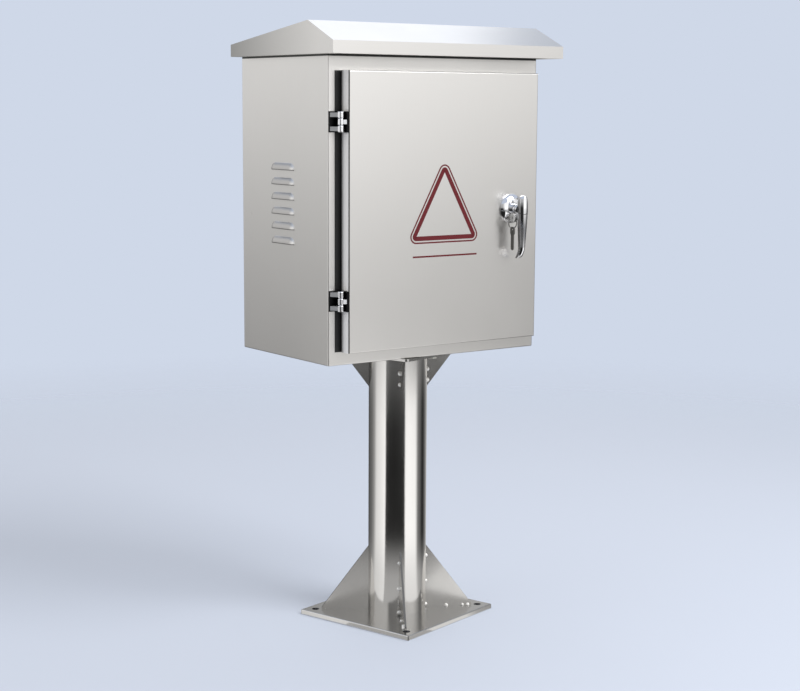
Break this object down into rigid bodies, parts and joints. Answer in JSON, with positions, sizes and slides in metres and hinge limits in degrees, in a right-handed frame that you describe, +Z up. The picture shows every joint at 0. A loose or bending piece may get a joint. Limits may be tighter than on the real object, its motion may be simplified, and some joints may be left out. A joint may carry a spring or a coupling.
{
  "type": "outdoor distribution cabinet",
  "caption": "Stainless steel electrical cabinet with a pitched rain hood, a lockable hinged door and side louvres, on a round post with a gusseted foot plate.",
  "frame": {"origin": "centre of the foot plate's underside, on the post's axis and at the centre of the anchor bolt circle", "axes": "+Z up along the post; the door faces -Y; +X is towards the lock side of the door"},
  "size_m": [0.438, 0.3085, 0.9556],
  "materials": {
    "stainless_sheet": "satin",
    "stainless_stand": "polished",
    "seal_rubber": "matt",
    "zinc_fixings": "zinc plated",
    "hinge_chrome": "polished",
    "pin_steel": "turned",
    "lock_chrome": "polished",
    "lock_steel": "zinc plated",
    "key_metal": "nickel plated",
    "galvanised_sheet": "galvanised",
    "breaker_plastic": "moulded",
    "toggle_plastic": "moulded",
    "bar_brass": "sawn",
    "standoff_plastic": "moulded"
  },
  "bodies": {
    "cabinet": {"enclosure_shell": "stainless_sheet", "rain_hood": "stainless_sheet", "base_plate": "stainless_stand", "post_tube": "stainless_stand", "top_plate": "stainless_stand", "base_gusset_1": "stainless_stand", "base_gusset_2": "stainless_stand", "base_gusset_3": "stainless_stand", "base_gusset_4": "stainless_stand", "top_gusset_1": "stainless_stand", "top_gusset_2": "stainless_stand", "top_gusset_3": "stainless_stand", "top_gusset_4": "stainless_stand", "cable_grommet": "seal_rubber", "post_bolts": "zinc_fixings", "post_washers": "zinc_fixings", "post_nuts": "zinc_fixings", "frame_leaf_nuts": "zinc_fixings", "mounting_studs": "zinc_fixings", "mounting_nuts": "zinc_fixings", "rail_screws": "zinc_fixings", "lower_frame_leaf": "hinge_chrome", "upper_frame_leaf": "hinge_chrome", "lower_hinge_pin": "pin_steel", "upper_hinge_pin": "pin_steel", "mounting_plate": "galvanised_sheet", "din_rail": "galvanised_sheet", "main_breaker": "breaker_plastic", "branch_breaker_1": "breaker_plastic", "branch_breaker_2": "breaker_plastic", "branch_breaker_3": "breaker_plastic", "branch_breaker_4": "breaker_plastic", "neutral_bar": "bar_brass", "earth_bar": "bar_brass", "terminal_screws": "bar_brass", "bar_standoffs": "standoff_plastic"},
    "door": {"door_panel": "stainless_sheet", "door_seal": "seal_rubber", "lower_door_leaf": "hinge_chrome", "upper_door_leaf": "hinge_chrome", "door_leaf_nuts": "zinc_fixings", "lock_base": "lock_chrome", "lock_nut": "zinc_fixings"},
    "handle": {"lock_handle": "lock_chrome", "lock_spindle": "lock_steel", "lock_cam": "lock_steel", "cam_screw": "zinc_fixings"},
    "key": {"key_plug": "lock_steel", "key": "key_metal"},
    "key_ring": {"key_ring": "key_metal"},
    "spare_key": {"spare_key": "key_metal"},
    "main_toggle": {"main_toggle": "toggle_plastic"},
    "branch_toggle_1": {"branch_toggle_1": "toggle_plastic"},
    "branch_toggle_2": {"branch_toggle_2": "toggle_plastic"},
    "branch_toggle_3": {"branch_toggle_3": "toggle_plastic"},
    "branch_toggle_4": {"branch_toggle_4": "toggle_plastic"}
  },
  "joints": [
    {"name": "door_swing", "type": "hinge", "parent": "cabinet", "child": "door", "pos_m": [-0.186, -0.112, 0.6735], "axis": [0, 0, -1], "range_deg": [0, 120]},
    {"name": "handle_turn", "type": "hinge", "parent": "door", "child": "handle", "pos_m": [0.133, -0.1215, 0.67], "axis": [0, 1, 0], "range_deg": [0, 90]},
    {"name": "key_turn", "type": "hinge", "parent": "door", "child": "key", "pos_m": [0.124, -0.1215, 0.6565], "axis": [0, 1, 0], "range_deg": [0, 90]},
    {"name": "key_ring_swing", "type": "hinge", "parent": "key", "child": "key_ring", "pos_m": [0.124, -0.137, 0.6565], "axis": [1, 0, 0], "range_deg": [-15, 6]},
    {"name": "spare_key_swing", "type": "hinge", "parent": "key_ring", "child": "spare_key", "pos_m": [0.124, -0.137, 0.6383], "axis": [1, 0, 0], "range_deg": [-60, 8]},
    {"name": "main_toggle_throw", "type": "hinge", "parent": "cabinet", "child": "main_toggle", "pos_m": [-0.0875, 0.072, 0.731], "axis": [1, 0, 0], "range_deg": [0, 50]},
    {"name": "branch_toggle_1_throw", "type": "hinge", "parent": "cabinet", "child": "branch_toggle_1", "pos_m": [-0.03625, 0.072, 0.731], "axis": [1, 0, 0], "range_deg": [0, 50]},
    {"name": "branch_toggle_2_throw", "type": "hinge", "parent": "cabinet", "child": "branch_toggle_2", "pos_m": [-0.01875, 0.072, 0.731], "axis": [1, 0, 0], "range_deg": [0, 50]},
    {"name": "branch_toggle_3_throw", "type": "hinge", "parent": "cabinet", "child": "branch_toggle_3", "pos_m": [-0.00125, 0.072, 0.731], "axis": [1, 0, 0], "range_deg": [0, 50]},
    {"name": "branch_toggle_4_throw", "type": "hinge", "parent": "cabinet", "child": "branch_toggle_4", "pos_m": [0.01625, 0.072, 0.731], "axis": [1, 0, 0], "range_deg": [0, 50]}
  ]
}
